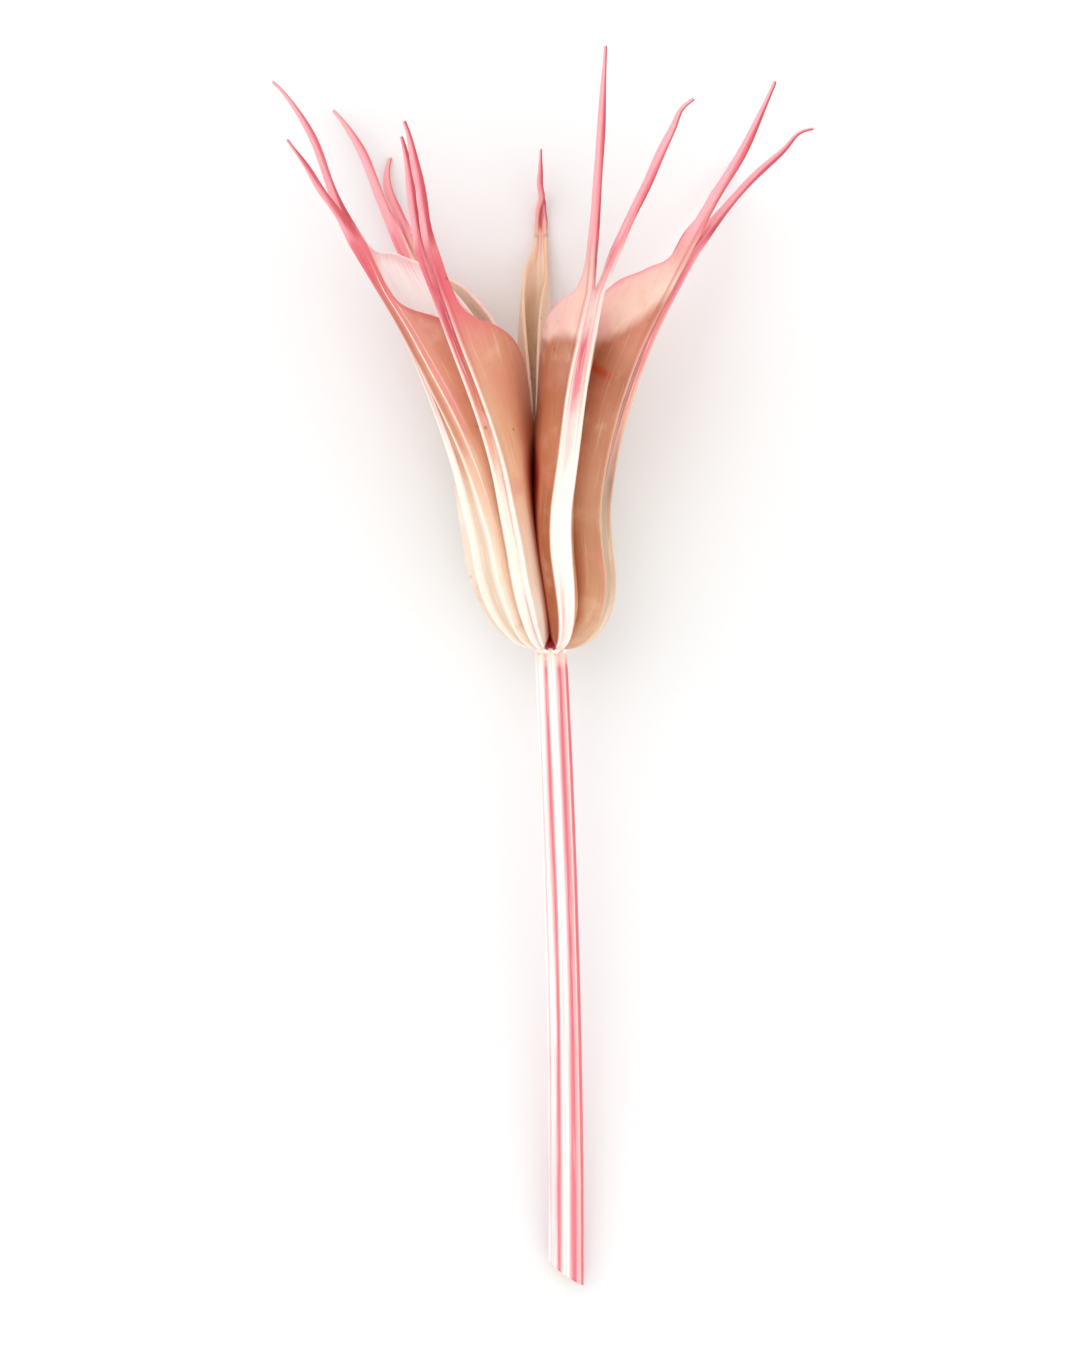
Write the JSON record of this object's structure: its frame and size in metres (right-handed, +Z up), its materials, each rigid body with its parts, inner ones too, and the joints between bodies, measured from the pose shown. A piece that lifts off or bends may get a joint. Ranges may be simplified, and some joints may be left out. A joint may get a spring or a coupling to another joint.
{
  "type": "dried seed pod",
  "caption": "Dried eastern love-in-a-mist seed pod: keeled follicles fused below, flaring into open troughs with long paired beaks, on a cut ribbed stem, lying down",
  "frame": {"origin": "middle of the bounding box in X and Y, on the surface it lies on at Z = 0", "axes": "+Y runs up the pod from the cut end of the stem to the beaks, +X to the right as the pod is looked down on, +Z up off the surface"},
  "size_m": [0.0472, 0.1068, 0.0317],
  "materials": {
    "dried_pod": "dry papery skin, cream and tan with rose rims and beaks",
    "dried_stem": "dry ribbed stem, rose between pale ribs"
  },
  "bodies": {
    "root": {"seed_pod": "dried_pod", "stem": "dried_stem"}
  },
  "joints": []
}
